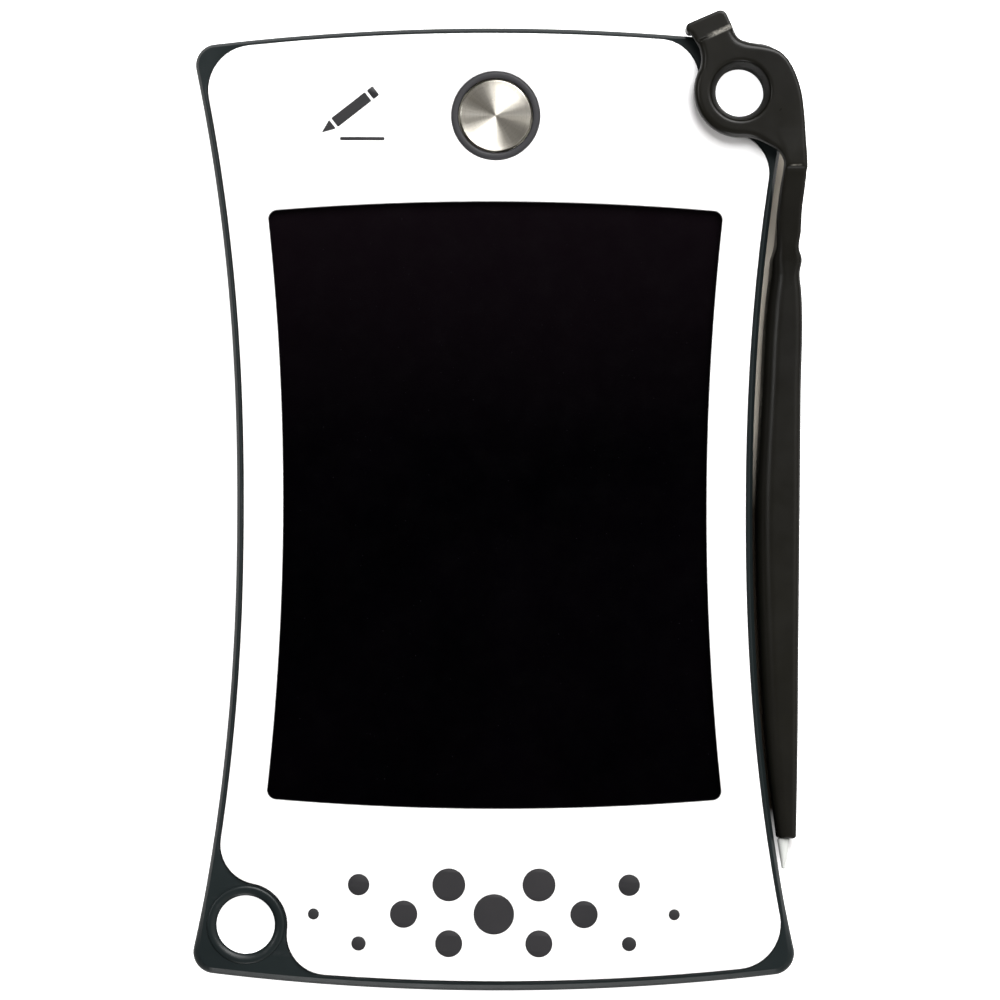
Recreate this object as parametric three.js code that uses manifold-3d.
// A pocket LCD writing tablet with a clip-on stylus, lying on its back.
// Millimetres. +X is right, +Y is the top of the screen, +Z comes out of the screen.
// The origin is the centre of the flat back face.

import * as THREE from "three";
import { mergeVertices } from "three/addons/utils/BufferGeometryUtils.js";
import Module from "manifold-3d";

const wasm = await Module();
wasm.setup();

// ---- Driving dimensions ----

// The body's pinched outline: half-width at the waist, how far it flares by FLARE_AT, and its bowed ends.
const WAIST_HALF_WIDTH = 39.4;
const FLARE = 5.75;
const FLARE_AT = 64.1;
const FLARE_POWER = 2.2;
const HALF_LENGTH = 73.6;
const END_SAG = 2.1;
const END_SAG_AT = 39;
const SHELL_CORNER = 3.1;
const STYLUS_SHELL_CORNER = 5.5;

// Heights above the back face.
const FLOOR_TOP = 1.0;
const LEDGE = 4.3;
const SHELL_TOP = 5.1;
const BEZEL_BACK = 4.4;
const BEZEL_TOP = 5.6;

// How far the shell's rim shows outside the bezel, and how thick the wall is under the bezel's edge.
const SIDE_RIM = 1.0;
const TOP_RIM = 0.74;
const BOTTOM_RIM = 1.37;
const BEZEL_CORNER = 6.9;
const BEZEL_GAP = 0.12;
const WALL = 1.3;

// The corner holes, and the bezel's notch round each.
const HOLE_RADIUS = 4.45;
const HOLE_LIP = 6.0;
const HOLE_LIP_DEPTH = 0.9;
const NOTCH_RADIUS = 6.4;
const NOTCH_FILLET = 6.1;
const LANYARD_HOLE = new THREE.Vector2(-38.0, -63.7);
const STYLUS_HOLE = new THREE.Vector2(37.35, 63.9);

// The screen window and the layers behind it.
const WINDOW = {
  waist: 32.4, flare: 2.5, flareAt: 45, power: 2, halfLength: 46.5, endSag: 1.5, sagAt: 34.9,
};
const WINDOW_CORNER = 1.4;
const SCREEN_Y = 0.6;
const PANEL_HALF_WIDTH = 36.2;
const PANEL_HALF_LENGTH = 47.6;
const PANEL_BACK = 3.55;
const PANEL_FRONT = 4.2;
const PLATE_BACK = 2.75;
const PLATE_FRONT = 3.5;
const PLATE_MARGIN = 0.4;

// The erase button.
const BUTTON = new THREE.Vector2(0, 60.2);
const RING_OUTER = 6.75;
const RING_INNER = 5.7;
const RING_TOP = 5.95;
const CAP_RADIUS = 5.42;
const CAP_TOP = 5.85;
const BUTTON_TRAVEL = 0.35;

// The circuit board, and the parts that stand on it.
const BOARD = { left: -6, right: 28, low: 52.2, high: 68.4, bottom: 1.4, top: 2.2 };
const CONNECTOR = { left: 8.5, right: 19.5, low: 52.4, high: 55.8, top: 3.4 };
const CHIP = { left: 18, right: 23, low: 60.5, high: 65.5, top: 3.1 };
const CAPACITOR = { left: 23.8, right: 27.0, low: 64.9, high: 66.5, top: 3.6 };
const DIODE = { left: 24.0, right: 26.7, low: 57.4, high: 59.0, top: 3.2 };
const INDUCTOR = new THREE.Vector2(12.5, 64);
const INDUCTOR_RADIUS = 2.3;
const INDUCTOR_CORE = 1.7;
const INDUCTOR_HEIGHT = 1.7;
const CONTACT_THICKNESS = 0.2;
const POST_RADIUS = 1.3;
const POST_INSET = 1.6;

// The coin cell and its cover.
const CELL = new THREE.Vector2(-22, 59.6);
const CELL_RADIUS = 10;
const CELL_BOTTOM = 1.25;
const CELL_TOP = 2.85;
const COVER_RADIUS = 10.7;
const COVER_TAB_RADIUS = 3.3;
const COVER_TAB_OFFSET = 13.3;
const COVER_GAP = 0.2;
const COVER_BOTTOM = 0.05;
const COVER_TOP = 0.95;

// The case screws and the magnets.
const SCREW_X = 36.3;
const SCREW_Y = 53.3;
const SCREW_HEAD = 1.6;
const SCREW_SHAFT = 0.75;
const SCREW_TOP = 3.9;
const SCREW_BOSS = 2.6;
const SCREW_WELL = 1.9;
const BEZEL_POST_BOTTOM = 2.3;
const COVER_SCREW_HEAD = 1.5;
const COVER_SCREW_SHAFT = 0.7;
const COVER_SCREW_TOP = 2.9;
const MAGNET_X = 16;
const MAGNET_Y = -60;
const MAGNET_RADIUS = 5;
const MAGNET_TOP = 2.5;

// Ribs, bosses and cradles start this far down in the floor they stand on.
const ROOT = 0.2;

// The stylus: its eye on the corner hole, the sleeve below it, and the writing point.
const EYE_OUTER = 7.1;
const EYE_INNER = 3.7;
const SLEEVE_OUTER = 4.22;
const SLEEVE_BOTTOM = 0.7;
const HEAD_BOTTOM = 5.9;
const HEAD_TOP = 8.5;
const POINT_X = 44.45;
const POINT_Z = 2.9;
const BARREL_END = -50.4;
const POINT_END = -55.1;
// The arm from the eye down to the barrel's end. Each section gives its place along Y, its left and
// right sides, and its back and front faces.
const BARREL_SECTIONS = [
  [56.5, 42.4, 47.4, 5.95, 8.45],
  [54.0, 44.3, 47.5, 5.9, 8.4],
  [52.0, 44.0, 47.5, 5.2, 8.2],
  [49.5, 43.6, 47.3, 3.9, 7.6],
  [46.0, 43.25, 46.9, 2.1, 6.7],
  [42.5, 42.95, 46.6, 1.0, 6.1],
  [40.0, 42.6, 46.35, 0.8, 5.9],
  [38.4, 42.0, 46.8, 0.6, 5.8],
  [36.4, 41.75, 46.5, 0.5, 5.75],
  [33.5, 41.5, 46.75, 0.4, 5.7],
  [17.0, 40.7, 46.6, 0.35, 5.7],
  [1.4, 39.8, 46.5, 0.35, 5.65],
  [-20.0, 40.55, 46.35, 0.5, 5.5],
  [-38.0, 41.75, 46.25, 0.8, 5.1],
  [-49.6, 42.95, 46.2, 1.2, 4.65],
  [BARREL_END, 43.4, 45.8, 1.6, 4.25],
];

// ---- Solids ----

const FINE = 32;
const COARSE = 20;

function solidOf(geometry) {
  const plain = geometry.index ? geometry.toNonIndexed() : geometry;
  plain.deleteAttribute("normal");
  plain.deleteAttribute("uv");
  const merged = mergeVertices(plain, 1e-4);
  return new wasm.Manifold(
    new wasm.Mesh({
      numProp: 3,
      vertProperties: merged.attributes.position.array,
      triVerts: new Uint32Array(merged.index.array),
    }),
  );
}

function geometryOf(solid) {
  const mesh = solid.getMesh();
  return new THREE.BufferGeometry()
    .setAttribute("position", new THREE.BufferAttribute(mesh.vertProperties, 3))
    .setIndex(new THREE.BufferAttribute(mesh.triVerts, 1));
}

// A flat-topped solid between two heights, with its long edges rounded off by bevel.
function slab(outline, bottom, top, bevel = 0) {
  const shape = outline instanceof THREE.Shape ? outline : new THREE.Shape(outline);
  const geometry = new THREE.ExtrudeGeometry(shape, {
    depth: top - bottom - 2 * bevel,
    bevelEnabled: bevel > 0,
    bevelThickness: bevel,
    bevelSize: bevel,
    bevelOffset: -bevel,
    bevelSegments: 1,
    curveSegments: 5,
  });
  return solidOf(geometry.translate(0, 0, bottom + bevel));
}

// A solid of revolution about a vertical axis at centre. The profile is [radius, height] points,
// anticlockwise, and starts and ends on the axis or closes on itself.
function turned(profile, centre = new THREE.Vector2(), segments = FINE) {
  const points = profile.map(([radius, height]) => new THREE.Vector2(radius, height));
  const geometry = new THREE.LatheGeometry(points, segments);
  return solidOf(geometry.rotateX(Math.PI / 2).translate(centre.x, centre.y, 0));
}

function rod(centre, radius, bottom, top, segments = COARSE) {
  return turned([[0, bottom], [radius, bottom], [radius, top], [0, top]], centre, segments);
}

function tube(centre, inner, outer, bottom, top) {
  const profile = [[inner, bottom], [outer, bottom], [outer, top], [inner, top], [inner, bottom]];
  return turned(profile, centre, FINE);
}

function block(left, right, low, high, bottom, top) {
  const geometry = new THREE.BoxGeometry(right - left, high - low, top - bottom);
  return solidOf(geometry.translate((left + right) / 2, (low + high) / 2, (bottom + top) / 2));
}

const joined = (solids) => solids.reduce((whole, solid) => whole.add(solid));
const cut = (solid, cutters) => cutters.reduce((rest, cutter) => rest.subtract(cutter), solid);

// ---- Outlines ----

const SIDE_STEPS = 10;
const END_STEPS = 8;
const ARC_STEPS = 5;
const NOTCH_STEPS = 9;

const point = (x, y) => new THREE.Vector2(x, y);

function arc(centre, radius, from, to, steps = ARC_STEPS) {
  return Array.from({ length: steps + 1 }, (_, i) => {
    const angle = from + ((to - from) * i) / steps;
    return point(centre.x + radius * Math.cos(angle), centre.y + radius * Math.sin(angle));
  });
}

// The points strictly between two values, placed by a formula.
function between(steps, from, to, place) {
  return Array.from({ length: steps - 1 }, (_, i) => place(from + ((to - from) * (i + 1)) / steps));
}

// A form gives the half-width of a pinched outline at y, and its half-length at x.
function pinchedForm({ waist, flare, flareAt, power, halfLength, endSag, sagAt }) {
  return {
    side: (y) => waist + flare * (Math.abs(y) / flareAt) ** power,
    end: (x) => halfLength - endSag * (x / sagAt) ** 2,
    sideLean: (y) => Math.atan((flare * power * (y / flareAt) ** (power - 1)) / flareAt),
    endLean: (x) => Math.atan((2 * endSag * x) / sagAt ** 2),
  };
}

// Each corner runs from the side to the end in the upper right quarter.
function roundCorner(form, inset, radius) {
  const centre = point(form.side(0), form.end(0));
  for (let pass = 0; pass < 20; pass += 1) {
    centre.x = form.side(centre.y) - inset - radius / Math.cos(form.sideLean(centre.y));
    centre.y = form.end(centre.x) - inset - radius / Math.cos(form.endLean(centre.x));
  }
  return arc(centre, radius, -form.sideLean(centre.y), Math.PI / 2 - form.endLean(centre.x));
}

// A corner that goes in round a hole, with a convex fillet where it meets each edge.
function notchedCorner(form, inset, hole) {
  const fillet = NOTCH_FILLET - inset;
  const notch = NOTCH_RADIUS + inset;
  const reach = fillet + notch;
  const low = point(hole.x, hole.y - reach);
  const high = point(hole.x - reach, hole.y);
  for (let pass = 0; pass < 20; pass += 1) {
    low.x = form.side(low.y) - inset - fillet / Math.cos(form.sideLean(low.y));
    low.y = hole.y - Math.sqrt(reach ** 2 - (low.x - hole.x) ** 2);
    high.y = form.end(high.x) - inset - fillet / Math.cos(form.endLean(high.x));
    high.x = hole.x - Math.sqrt(reach ** 2 - (high.y - hole.y) ** 2);
  }
  const lowAngle = Math.atan2(hole.y - low.y, hole.x - low.x);
  const highAngle = Math.atan2(hole.y - high.y, hole.x - high.x);
  return [
    ...arc(low, fillet, -form.sideLean(low.y), lowAngle),
    ...arc(hole, notch, lowAngle - Math.PI, highAngle - Math.PI, NOTCH_STEPS).slice(1, -1),
    ...arc(high, fillet, highAngle, Math.PI / 2 - form.endLean(high.x)),
  ];
}

// The upper half of a pinched outline, from the middle of the right side to the left side.
function upperHalf(form, inset, rightCorner, leftCorner) {
  const right = rightCorner;
  const left = leftCorner.map(({ x, y }) => point(-x, y)).reverse();
  return [
    point(form.side(0) - inset, 0),
    ...between(SIDE_STEPS, 0, right[0].y, (y) => point(form.side(y) - inset, y)),
    ...right,
    ...between(END_STEPS, right.at(-1).x, left[0].x, (x) => point(x, form.end(x) - inset)),
    ...left,
    ...between(SIDE_STEPS, left.at(-1).y, 0, (y) => point(inset - form.side(y), y)),
  ];
}

const turnedHalf = (half) => half.map(({ x, y }) => point(-x, -y));

// The body's own form, drawn in by a rim at the sides and at the end.
const bodyForm = (sideRim, endRim) => pinchedForm({
  waist: WAIST_HALF_WIDTH - sideRim, flare: FLARE, flareAt: FLARE_AT, power: FLARE_POWER,
  halfLength: HALF_LENGTH - endRim, endSag: END_SAG, sagAt: END_SAG_AT,
});

const shellForm = bodyForm(0, 0);
const bezelUpperForm = bodyForm(SIDE_RIM, TOP_RIM);
const bezelLowerForm = bodyForm(SIDE_RIM, BOTTOM_RIM);
const windowForm = pinchedForm(WINDOW);

function shellOutline() {
  const plain = roundCorner(shellForm, 0, SHELL_CORNER);
  const stylusCorner = roundCorner(shellForm, 0, STYLUS_SHELL_CORNER);
  return [
    ...upperHalf(shellForm, 0, stylusCorner, plain),
    ...turnedHalf(upperHalf(shellForm, 0, plain, plain)),
  ];
}

function bezelOutline(inset) {
  const upperCorner = roundCorner(bezelUpperForm, inset, BEZEL_CORNER - inset);
  const lowerCorner = roundCorner(bezelLowerForm, inset, BEZEL_CORNER - inset);
  const stylusCorner = notchedCorner(bezelUpperForm, inset, STYLUS_HOLE);
  const lanyardCorner = notchedCorner(bezelLowerForm, inset, LANYARD_HOLE.clone().negate());
  return [
    ...upperHalf(bezelUpperForm, inset, stylusCorner, upperCorner),
    ...turnedHalf(upperHalf(bezelLowerForm, inset, lanyardCorner, lowerCorner)),
  ];
}

function windowOutline(inset) {
  const corner = roundCorner(windowForm, inset, WINDOW_CORNER - inset);
  const half = upperHalf(windowForm, inset, corner, corner);
  return [...half, ...turnedHalf(half)].map(({ x, y }) => point(x, y + SCREEN_Y));
}

// Two unequal circles joined by their outer tangents: the battery cover and its opening.
function coverOutline(margin) {
  const large = COVER_RADIUS + margin;
  const small = COVER_TAB_RADIUS + margin;
  const lean = Math.acos((large - small) / COVER_TAB_OFFSET);
  const tab = point(CELL.x - COVER_TAB_OFFSET, CELL.y);
  return [
    ...arc(CELL, large, lean - Math.PI, Math.PI - lean, 20),
    ...arc(tab, small, Math.PI - lean, Math.PI + lean, 7),
  ];
}

const coverScrewPlace = point(CELL.x - COVER_TAB_OFFSET, CELL.y);
const caseScrewPlaces = [
  point(SCREW_X, SCREW_Y),
  point(-SCREW_X, SCREW_Y),
  point(-SCREW_X, -SCREW_Y),
  point(SCREW_X, -SCREW_Y),
];

// ---- Casing ----

function cornerHoleCutter(hole) {
  const lipStart = SHELL_TOP - HOLE_LIP_DEPTH;
  const profile = [
    [0, -1], [HOLE_RADIUS, -1], [HOLE_RADIUS, lipStart],
    [HOLE_RADIUS + 0.45, SHELL_TOP - 0.3], [HOLE_LIP, SHELL_TOP + 0.05], [HOLE_LIP, SHELL_TOP + 1],
    [0, SHELL_TOP + 1],
  ];
  return turned(profile, hole);
}

function shellRibs() {
  const thickness = 1.2;
  const ribTop = PLATE_BACK - 0.05;
  const reachX = 35;
  const reachY = 45;
  const along = [-24, 0, 24].map((x) =>
    block(x - thickness / 2, x + thickness / 2, -reachY, reachY, FLOOR_TOP - ROOT, ribTop));
  const across = [-30, 0, 30].map((y) =>
    block(-reachX, reachX, y - thickness / 2, y + thickness / 2, FLOOR_TOP - ROOT, ribTop));
  return [...along, ...across];
}

// The low ring round the coin cell, with a gap where the positive contact passes.
function cellCradle() {
  const inner = CELL_RADIUS + 0.3;
  const outer = COVER_RADIUS + 0.9;
  const ring = tube(CELL, inner, outer, FLOOR_TOP - 0.02, CELL_TOP - 0.25);
  return ring.subtract(block(-15, -9, 63.8, 67.2, FLOOR_TOP, CELL_TOP));
}

// A block that reaches from the side wall over the cover's tab, for the cover's screw.
function coverScrewBoss() {
  const { x, y } = coverScrewPlace;
  const reach = 2.2;
  const halfWidth = 2.4;
  const top = 3.2;
  return block(x - 7.7, x + reach, y - halfWidth, y + halfWidth, COVER_TOP + 0.25, top);
}

function boardPosts() {
  const left = BOARD.left + POST_INSET;
  const right = BOARD.right - POST_INSET;
  const low = BOARD.low + POST_INSET;
  const high = BOARD.high - POST_INSET;
  const places = [point(left, low), point(right, low), point(left, high), point(right, high)];
  return places.map((place) => rod(place, POST_RADIUS, FLOOR_TOP - ROOT, BOARD.bottom, 16));
}

function magnetCradles() {
  const inner = MAGNET_RADIUS + 0.2;
  const wall = 1.0;
  const top = MAGNET_TOP - 0.3;
  return [-MAGNET_X, MAGNET_X].map((x) =>
    tube(point(x, MAGNET_Y), inner, inner + wall, FLOOR_TOP - ROOT, top));
}

function rearShell() {
  const outer = slab(shellOutline(), 0, SHELL_TOP, 0.7);
  const recess = slab(bezelOutline(-BEZEL_GAP), LEDGE, SHELL_TOP + 1);
  const cavity = slab(bezelOutline(WALL), FLOOR_TOP, SHELL_TOP + 1);
  const bossTop = BEZEL_POST_BOTTOM - 0.1;
  const screwBosses = caseScrewPlaces.map((place) =>
    rod(place, SCREW_BOSS, FLOOR_TOP - ROOT, bossTop));
  const tray = joined([
    cut(outer, [recess, cavity]),
    ...shellRibs(),
    ...screwBosses,
    ...boardPosts(),
    ...magnetCradles(),
    cellCradle(),
    coverScrewBoss(),
  ]);
  return cut(tray, [
    slab(coverOutline(COVER_GAP), -1, FLOOR_TOP),
    rod(coverScrewPlace, COVER_SCREW_SHAFT + 0.15, 0, 4),
    ...caseScrewPlaces.map((place) => rod(place, SCREW_WELL, -1, 0.95)),
    ...caseScrewPlaces.map((place) => rod(place, SCREW_SHAFT + 0.25, 0, 3)),
    cornerHoleCutter(LANYARD_HOLE),
    cornerHoleCutter(STYLUS_HOLE),
  ]);
}

function frontBezel() {
  const posts = caseScrewPlaces.map((place) =>
    rod(place, SCREW_WELL, BEZEL_POST_BOTTOM, BEZEL_BACK + 0.1));
  const plate = slab(bezelOutline(0), BEZEL_BACK, BEZEL_TOP, 0.25);
  return cut(joined([plate, ...posts]), [
    slab(windowOutline(0), BEZEL_BACK - 1, BEZEL_TOP + 1),
    rod(BUTTON, RING_OUTER + 0.05, BEZEL_BACK - 1, BEZEL_TOP + 1, FINE),
    ...caseScrewPlaces.map((place) =>
      rod(place, SCREW_SHAFT + 0.1, BEZEL_POST_BOTTOM - 1, SCREW_TOP + 0.3)),
  ]);
}

function batteryCover() {
  return cut(slab(coverOutline(0), COVER_BOTTOM, COVER_TOP), [
    rod(coverScrewPlace, COVER_SCREW_HEAD + 0.25, -1, 0.6),
    rod(coverScrewPlace, COVER_SCREW_SHAFT + 0.2, -1, 2),
    block(CELL.x + 6.4, CELL.x + 7.6, CELL.y - 4, CELL.y + 4, -1, 0.35),
  ]);
}

// A pan-head screw with a cross slot, head down.
function screw(place, headRadius, headBottom, headTop, shaftRadius, shaftTop) {
  const body = turned([
    [0, headBottom], [headRadius - 0.2, headBottom], [headRadius, headBottom + 0.15],
    [headRadius, headTop], [shaftRadius, headTop], [shaftRadius, shaftTop - 0.4],
    [0, shaftTop],
  ], place, 16);
  const half = headRadius * 0.55;
  const slot = 0.22;
  const depth = headBottom + 0.3;
  return cut(body, [
    block(place.x - half, place.x + half, place.y - slot, place.y + slot, -1, depth),
    block(place.x - slot, place.x + slot, place.y - half, place.y + half, -1, depth),
  ]);
}

const caseScrew = (place) => screw(place, SCREW_HEAD, 0.1, 0.8, SCREW_SHAFT, SCREW_TOP);

const coverScrew = () =>
  screw(coverScrewPlace, COVER_SCREW_HEAD, 0.1, 0.55, COVER_SCREW_SHAFT, COVER_SCREW_TOP);

const magnet = (x) => rod(point(x, MAGNET_Y), MAGNET_RADIUS, FLOOR_TOP + 0.05, MAGNET_TOP);

// ---- Screen ----

function panelSlab(margin, bottom, top) {
  const x = PANEL_HALF_WIDTH - margin;
  const y = PANEL_HALF_LENGTH - margin;
  return block(-x, x, SCREEN_Y - y, SCREEN_Y + y, bottom, top);
}

function adhesiveFrame() {
  return panelSlab(0, PANEL_FRONT, BEZEL_BACK).subtract(slab(windowOutline(-0.4), 0, BEZEL_TOP));
}

// A strip of constant section: the profile is drawn in the vertical plane that runs along Y, and the
// strip runs from left to right.
function stripAlongX(profile, left, right) {
  const geometry = new THREE.ExtrudeGeometry(new THREE.Shape(profile.map(([y, z]) => point(y, z))), {
    depth: right - left,
    bevelEnabled: false,
  });
  const toPlace = new THREE.Matrix4().makeBasis(
    new THREE.Vector3(0, 1, 0), new THREE.Vector3(0, 0, 1), new THREE.Vector3(1, 0, 0));
  return solidOf(geometry.applyMatrix4(toPlace).translate(left, 0, 0));
}

// The same, with the profile in the plane that runs along X, and the strip running from low to high.
function stripAlongY(profile, low, high) {
  const geometry = new THREE.ExtrudeGeometry(new THREE.Shape(profile.map(([x, z]) => point(x, z))), {
    depth: high - low,
    bevelEnabled: false,
  });
  return solidOf(geometry.rotateX(Math.PI / 2).translate(0, high, 0));
}

function flexTail() {
  const thickness = 0.25;
  const start = SCREEN_Y + PANEL_HALF_LENGTH + 0.1;
  const high = 3.75;
  const low = 2.65;
  return stripAlongX([
    [start, high], [49.6, high], [51.4, low], [54.6, low],
    [54.6, low + thickness], [51.6, low + thickness], [49.8, high + thickness],
    [start, high + thickness],
  ], 10, 18);
}

// ---- Electronics ----

const boardSlab = () =>
  block(BOARD.left, BOARD.right, BOARD.low, BOARD.high, BOARD.bottom, BOARD.top);

const onBoard = ({ left, right, low, high, top }) =>
  block(left, right, low, high, BOARD.top, top);

// The connector's slot is open towards the screen and takes the flex tail.
function flexConnector() {
  const { left, right, low, high } = CONNECTOR;
  const cheek = 1.3;
  const slot = block(left + cheek, right - cheek, low - 1, high - 1, 2.55, 3.0);
  return onBoard(CONNECTOR).subtract(slot);
}

// The dimple marks the chip's first leg.
function driverChip() {
  const dimple = point(CHIP.left + 0.8, CHIP.high - 0.8);
  return onBoard(CHIP).subtract(rod(dimple, 0.3, CHIP.top - 0.1, CHIP.top + 1, 12));
}

function drumInductor() {
  const bottom = BOARD.top;
  const top = bottom + INDUCTOR_HEIGHT;
  const flange = 0.35;
  return turned([
    [0, bottom], [INDUCTOR_RADIUS, bottom], [INDUCTOR_RADIUS, bottom + flange],
    [INDUCTOR_CORE, bottom + flange], [INDUCTOR_CORE, top - flange],
    [INDUCTOR_RADIUS, top - flange], [INDUCTOR_RADIUS, top], [0, top],
  ], INDUCTOR, COARSE);
}

const coinCell = () => turned([
  [0, CELL_BOTTOM], [CELL_RADIUS - 0.3, CELL_BOTTOM], [CELL_RADIUS, CELL_BOTTOM + 0.3],
  [CELL_RADIUS, CELL_TOP - 0.3], [CELL_RADIUS - 0.6, CELL_TOP - 0.1], [CELL_RADIUS - 1.6, CELL_TOP],
  [0, CELL_TOP],
], CELL);

// A leaf from the board over the top of the cell.
function negativeContact() {
  const leaf = CONTACT_THICKNESS;
  const high = CELL_TOP + 0.05;
  const pad = BOARD.top;
  return stripAlongY([
    [-3.2, pad], [-3.2, pad + leaf], [-6.0, pad + leaf], [-9.0, high + leaf], [-20, high + leaf],
    [-20, high], [-8.9, high], [-6.1, pad],
  ], 57.6, 61.6);
}

// A strip from the board that bends down beside the cell's rim.
function positiveContact() {
  const leaf = CONTACT_THICKNESS;
  const pad = BOARD.top;
  return stripAlongY([
    [-3.2, pad], [-3.2, pad + leaf], [-13.2, pad + leaf], [-13.2, 1.35], [-13.0, 1.35], [-13.0, pad],
  ], 64.5, 66.5);
}

// ---- Erase button ----

function buttonRing() {
  const flange = 7.5;
  const flangeBottom = 4.05;
  const round = 0.35;
  return turned([
    [RING_INNER, flangeBottom], [flange, flangeBottom], [flange, BEZEL_BACK - 0.05],
    [RING_OUTER, BEZEL_BACK - 0.05], [RING_OUTER, RING_TOP - round],
    [RING_OUTER - round, RING_TOP], [RING_INNER + round, RING_TOP],
    [RING_INNER, RING_TOP - round], [RING_INNER, flangeBottom],
  ], BUTTON);
}

const buttonCap = () => turned([
  [0, 4.85], [CAP_RADIUS, 4.85], [CAP_RADIUS, CAP_TOP - 0.2], [CAP_RADIUS - 0.3, CAP_TOP], [0, CAP_TOP],
], BUTTON);

const buttonCarrier = () => turned([
  [0, 3.4], [1.6, 3.4], [1.6, 3.55], [6.5, 3.55], [6.5, 3.8], [5.2, 3.8], [5.2, 4.8], [0, 4.8],
], BUTTON);

function switchBase() {
  const half = 2.3;
  const { x, y } = BUTTON;
  const top = 3.0;
  const base = block(x - half, x + half, y - half, y + half, BOARD.top, top);
  return base.subtract(rod(BUTTON, 1.15, top - BUTTON_TRAVEL - 0.3, top + 1));
}

const switchPlunger = () => rod(BUTTON, 1.0, 2.85, 3.35);

// ---- Stylus ----

// The head seen from the front: the eye, the thumb tab over the body's top edge, and the shoulder.
function headOutline() {
  const shape = new THREE.Shape();
  shape.absarc(STYLUS_HOLE.x, STYLUS_HOLE.y, EYE_OUTER, (150 * Math.PI) / 180, (265 * Math.PI) / 180);
  shape.splineThru([point(39.4, 56.7), point(41.5, 55.8), point(43.2, 54.8), point(44.3, 53.2)]);
  shape.lineTo(44.5, 52.4);
  shape.lineTo(47.4, 52.4);
  shape.splineThru([
    point(47.3, 57.6), point(46.6, 64.0), point(45.5, 67.2), point(43.9, 69.5), point(41.9, 70.6),
    point(38.8, 71.3),
  ]);
  shape.quadraticCurveTo(37.2, 71.6, 36.6, 72.7);
  tabEnd(shape);
  shape.splineThru([point(31.0, 70.6), point(31.3, 69.0)]);
  shape.closePath();
  return shape;
}

// Round the thumb tab's square end, from its right side to its left.
function tabEnd(shape) {
  shape.lineTo(35.2, 75.4);
  shape.quadraticCurveTo(34.7, 76.4, 33.6, 75.95);
  shape.lineTo(29.8, 74.35);
  shape.quadraticCurveTo(28.95, 73.95, 29.4, 73.0);
}

// The tab's end, which turns down outside the body's top edge.
function hookOutline() {
  const shape = new THREE.Shape();
  shape.moveTo(29.6, 72.7);
  shape.lineTo(36.6, 72.7);
  tabEnd(shape);
  shape.closePath();
  return shape;
}

// A closed solid through rounded sections. Each has a place along Y, left, right, back and front.
function loft(sections) {
  const around = 16;
  const squareness = 0.5;
  const positions = [];
  const triangles = [];
  const swell = (value) => Math.sign(value) * Math.abs(value) ** squareness;
  sections.forEach(([y, left, right, back, front]) => {
    for (let i = 0; i < around; i += 1) {
      const angle = (2 * Math.PI * i) / around;
      const x = (left + right) / 2 + ((right - left) / 2) * swell(Math.cos(angle));
      const z = (back + front) / 2 + ((front - back) / 2) * swell(Math.sin(angle));
      positions.push(x, y, z);
    }
  });
  for (let row = 0; row < sections.length - 1; row += 1) {
    for (let i = 0; i < around; i += 1) {
      const here = row * around + i;
      const next = row * around + ((i + 1) % around);
      triangles.push(here, next, here + around, next, next + around, here + around);
    }
  }
  const last = (sections.length - 1) * around;
  for (let i = 1; i < around - 1; i += 1) {
    triangles.push(0, i + 1, i);
    triangles.push(last, last + i, last + i + 1);
  }
  const geometry = new THREE.BufferGeometry();
  geometry.setAttribute("position", new THREE.Float32BufferAttribute(positions, 3));
  geometry.setIndex(triangles);
  return solidOf(geometry);
}

// A rod or cone along -Y, from [radius, y] points that start and end on its axis.
function turnedAlongY(profile, x, z) {
  const points = profile.map(([radius, y]) => point(radius, y));
  return solidOf(new THREE.LatheGeometry(points, COARSE).translate(x, 0, z));
}

function stylusBody() {
  const head = slab(headOutline(), HEAD_BOTTOM, HEAD_TOP, 0.4);
  const hook = slab(hookOutline(), 1.6, HEAD_TOP - 0.6, 0.3);
  const arm = loft(BARREL_SECTIONS);
  const sleeve = rod(STYLUS_HOLE, SLEEVE_OUTER, SLEEVE_BOTTOM, HEAD_BOTTOM + 0.5, FINE);
  const eyeCutter = turned([
    [0, 0], [EYE_INNER, 0], [EYE_INNER, HEAD_TOP - 1.1], [EYE_INNER + 0.3, HEAD_TOP - 0.45],
    [EYE_INNER + 1.0, HEAD_TOP + 0.01], [EYE_INNER + 1.0, HEAD_TOP + 1], [0, HEAD_TOP + 1],
  ], STYLUS_HOLE);
  const creaseCutter = block(-3.2, 3.2, -0.22, 0.22, HEAD_TOP - 0.35, HEAD_TOP + 1)
    .rotate([0, 0, 25])
    .translate([34.1, 73.1, 0]);
  const pointSocket = turnedAlongY(
    [[0, BARREL_END - 1], [0.95, BARREL_END - 1], [0.95, BARREL_END + 4], [0, BARREL_END + 4]],
    POINT_X, POINT_Z);
  return cut(joined([head, hook, arm, sleeve]), [eyeCutter, creaseCutter, pointSocket]);
}

const stylusTip = () => turnedAlongY([
  [0, POINT_END], [0.3, POINT_END + 0.12], [1.0, BARREL_END - 0.1], [0.8, BARREL_END],
  [0.8, BARREL_END + 3.6], [0, BARREL_END + 3.6],
], POINT_X, POINT_Z);

// ---- Assembly ----

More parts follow.
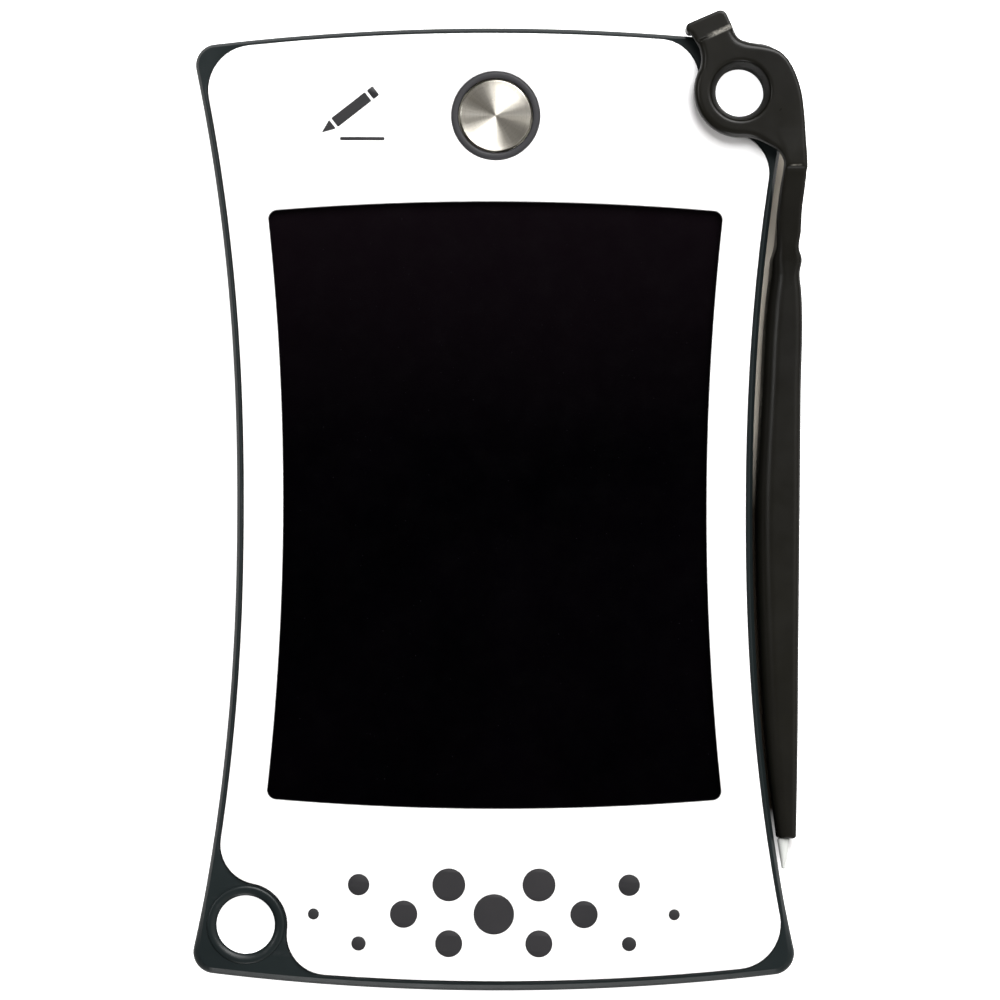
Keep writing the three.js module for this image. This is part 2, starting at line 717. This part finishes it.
const LOOKS = {
  charcoal: { color: 0x24292d, roughness: 0.42, metalness: 0 },
  white: { color: 0xfdfcfd, roughness: 0.18, metalness: 0 },
  screen: { color: 0x080509, roughness: 0.12, metalness: 0 },
  darkRubber: { color: 0x3a3a3d, roughness: 0.6, metalness: 0 },
  brushedSteel: { color: 0xb8b5aa, roughness: 0.28, metalness: 1 },
  stylusBlack: { color: 0x2a2924, roughness: 0.45, metalness: 0 },
  paleGrey: { color: 0xd8dad8, roughness: 0.4, metalness: 0 },
  aluminium: { color: 0xb9bcbe, roughness: 0.4, metalness: 1 },
  foamTape: { color: 0x1d1d1f, roughness: 0.9, metalness: 0 },
  amberFilm: { color: 0xa8641c, roughness: 0.35, metalness: 0 },
  board: { color: 0x1c5a38, roughness: 0.45, metalness: 0 },
  connector: { color: 0xe6e0cf, roughness: 0.5, metalness: 0 },
  chip: { color: 0x1b1b1d, roughness: 0.55, metalness: 0 },
  ferrite: { color: 0x47484b, roughness: 0.6, metalness: 0.2 },
  ceramic: { color: 0xb89a6a, roughness: 0.5, metalness: 0 },
  springBrass: { color: 0xc9a24e, roughness: 0.3, metalness: 1 },
  cellSteel: { color: 0xc4c5c6, roughness: 0.25, metalness: 1 },
  screwSteel: { color: 0x8d8f92, roughness: 0.35, metalness: 1 },
};

function named(name, solid, look) {
  const mesh = new THREE.Mesh(geometryOf(solid), new THREE.MeshStandardMaterial(LOOKS[look]));
  mesh.name = name;
  return mesh;
}

function groupOf(...children) {
  const group = new THREE.Group();
  group.add(...children);
  return group;
}

const casing = groupOf(
  named("rear_shell", rearShell(), "charcoal"),
  named("front_bezel", frontBezel(), "white"),
  ...caseScrewPlaces.map((place, i) =>
    named(`case_screw_${i + 1}`, caseScrew(place), "screwSteel")),
  ...[["magnet_left", -MAGNET_X], ["magnet_right", MAGNET_X]].map(([name, x]) =>
    named(name, magnet(x), "cellSteel")),
);

const screen = groupOf(
  named("lcd_panel", panelSlab(0, PANEL_BACK, PANEL_FRONT), "screen"),
  named("lcd_adhesive_frame", adhesiveFrame(), "foamTape"),
  named("lcd_support_plate", panelSlab(PLATE_MARGIN, PLATE_BACK, PLATE_FRONT), "aluminium"),
  named("lcd_flex_tail", flexTail(), "amberFilm"),
);

const electronics = groupOf(
  named("main_pcb", boardSlab(), "board"),
  named("fpc_connector", flexConnector(), "connector"),
  named("erase_driver_ic", driverChip(), "chip"),
  named("boost_inductor", drumInductor(), "ferrite"),
  named("boost_capacitor", onBoard(CAPACITOR), "ceramic"),
  named("boost_diode", onBoard(DIODE), "chip"),
  named("coin_cell", coinCell(), "cellSteel"),
  named("battery_contact_negative", negativeContact(), "springBrass"),
  named("battery_contact_positive", positiveContact(), "springBrass"),
);

const battery = groupOf(
  named("battery_cover", batteryCover(), "charcoal"),
  named("battery_cover_screw", coverScrew(), "screwSteel"),
);

const eraseButton = groupOf(
  named("button_ring", buttonRing(), "darkRubber"),
  named("erase_button_cap", buttonCap(), "brushedSteel"),
  named("erase_button_carrier", buttonCarrier(), "connector"),
  named("tactile_switch_base", switchBase(), "chip"),
  named("tactile_switch_plunger", switchPlunger(), "connector"),
);

const stylus = groupOf(
  named("stylus_body", stylusBody(), "stylusBlack"),
  named("stylus_tip", stylusTip(), "paleGrey"),
);

const group = groupOf(casing, screen, electronics, battery, eraseButton, stylus);

export default group;
